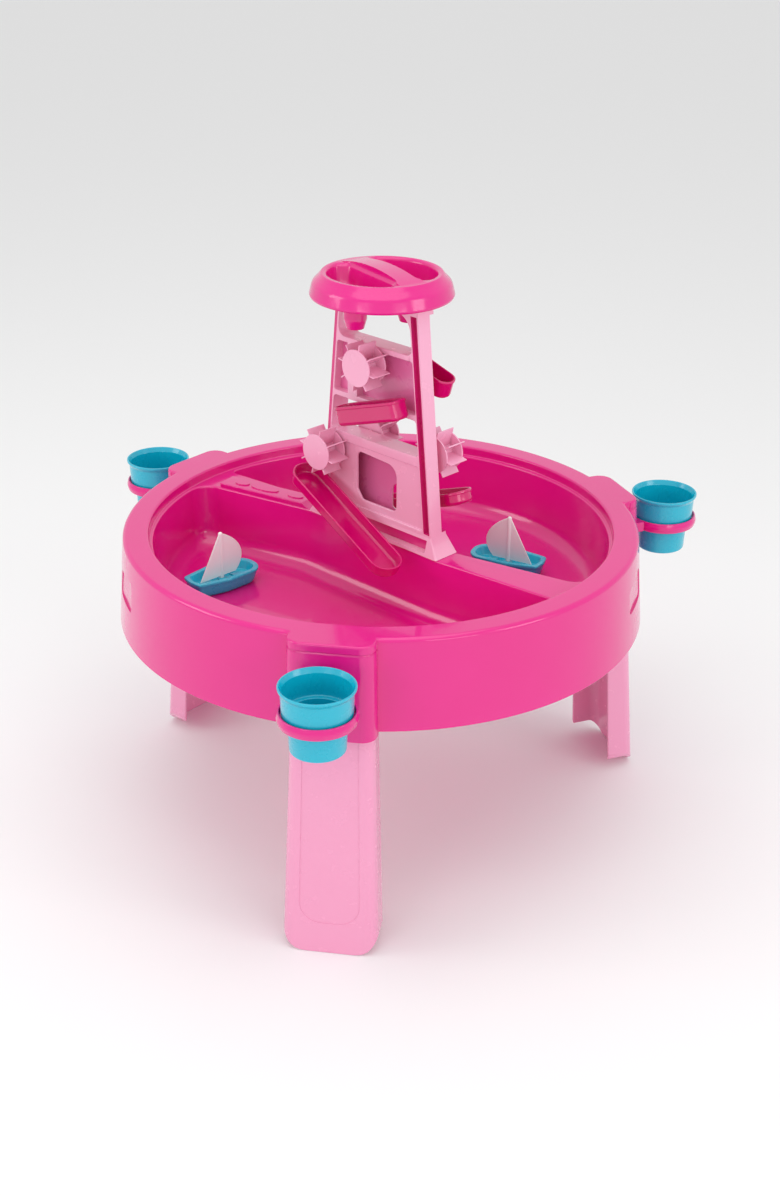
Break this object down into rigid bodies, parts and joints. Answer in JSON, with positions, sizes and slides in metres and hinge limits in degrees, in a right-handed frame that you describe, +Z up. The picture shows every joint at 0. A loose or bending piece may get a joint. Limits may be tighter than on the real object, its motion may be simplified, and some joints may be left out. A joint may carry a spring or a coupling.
{
  "type": "sand and water table",
  "caption": "Round play basin on three legs, split by a divider under a water tower with paddle wheels, chutes, slides and a funnel dish; cups sit in side rings and toy boats float inside.",
  "frame": {"origin": "on the floor, under the middle of the whole table's box", "axes": "+X along the divider, +Z up out of the basin"},
  "size_m": [0.7992, 0.8078, 0.745],
  "materials": {
    "hot_pink": "glossy moulded plastic",
    "deep_pink": "glossy moulded plastic",
    "pale_pink": "satin moulded plastic",
    "light_pink": "satin moulded plastic",
    "turquoise": "glossy moulded plastic",
    "white": "satin moulded plastic"
  },
  "bodies": {
    "table": {"axle_back_left": "light_pink", "axle_back_right": "light_pink", "axle_front_lower": "light_pink", "axle_front_upper": "light_pink", "basin": "hot_pink", "cup_ring_front": "hot_pink", "cup_ring_left": "hot_pink", "cup_ring_right": "hot_pink", "funnel_dish": "hot_pink", "leg_front": "pale_pink", "leg_left": "pale_pink", "leg_right": "pale_pink", "slide_back": "deep_pink", "slide_front": "deep_pink", "tower_frame": "light_pink", "upper_chute_back": "deep_pink", "upper_chute_front": "deep_pink"},
    "wheel_front_upper": {"wheel_front_upper": "light_pink"},
    "wheel_front_lower": {"wheel_front_lower": "light_pink"},
    "wheel_back_right": {"wheel_back_right": "light_pink"},
    "wheel_back_left": {"wheel_back_left": "light_pink"},
    "cup_front": {"cup_front": "turquoise"},
    "cup_right": {"cup_right": "turquoise"},
    "cup_left": {"cup_left": "turquoise"},
    "boat_front": {"boat_hull_front": "turquoise", "boat_sail_front": "white"},
    "boat_back": {"boat_hull_back": "turquoise", "boat_sail_back": "white"}
  },
  "joints": [
    {"name": "wheel_front_upper_spin", "type": "hinge", "parent": "table", "child": "wheel_front_upper", "pos_m": [0.05962, -0.01809, 0.626], "axis": [0, 1, 0], "continuous": true},
    {"name": "wheel_front_lower_spin", "type": "hinge", "parent": "table", "child": "wheel_front_lower", "pos_m": [-0.01338, -0.01809, 0.497], "axis": [0, 1, 0], "continuous": true},
    {"name": "wheel_back_right_spin", "type": "hinge", "parent": "table", "child": "wheel_back_right", "pos_m": [0.13362, -0.01809, 0.517], "axis": [0, 1, 0], "continuous": true},
    {"name": "wheel_back_left_spin", "type": "hinge", "parent": "table", "child": "wheel_back_left", "pos_m": [0.02362, -0.01809, 0.513], "axis": [0, 1, 0], "continuous": true},
    {"name": "cup_front_lift", "type": "slide", "parent": "table", "child": "cup_front", "axis": [0, 0, 1], "range_m": [0, 0.1]},
    {"name": "cup_right_lift", "type": "slide", "parent": "table", "child": "cup_right", "axis": [0, 0, 1], "range_m": [0, 0.1]},
    {"name": "cup_left_lift", "type": "slide", "parent": "table", "child": "cup_left", "axis": [0, 0, 1], "range_m": [0, 0.1]},
    {"name": "boat_front_lift", "type": "slide", "parent": "table", "child": "boat_front", "axis": [0, 0, 1], "range_m": [0, 0.12]},
    {"name": "boat_back_lift", "type": "slide", "parent": "table", "child": "boat_back", "axis": [0, 0, 1], "range_m": [0, 0.12]}
  ]
}
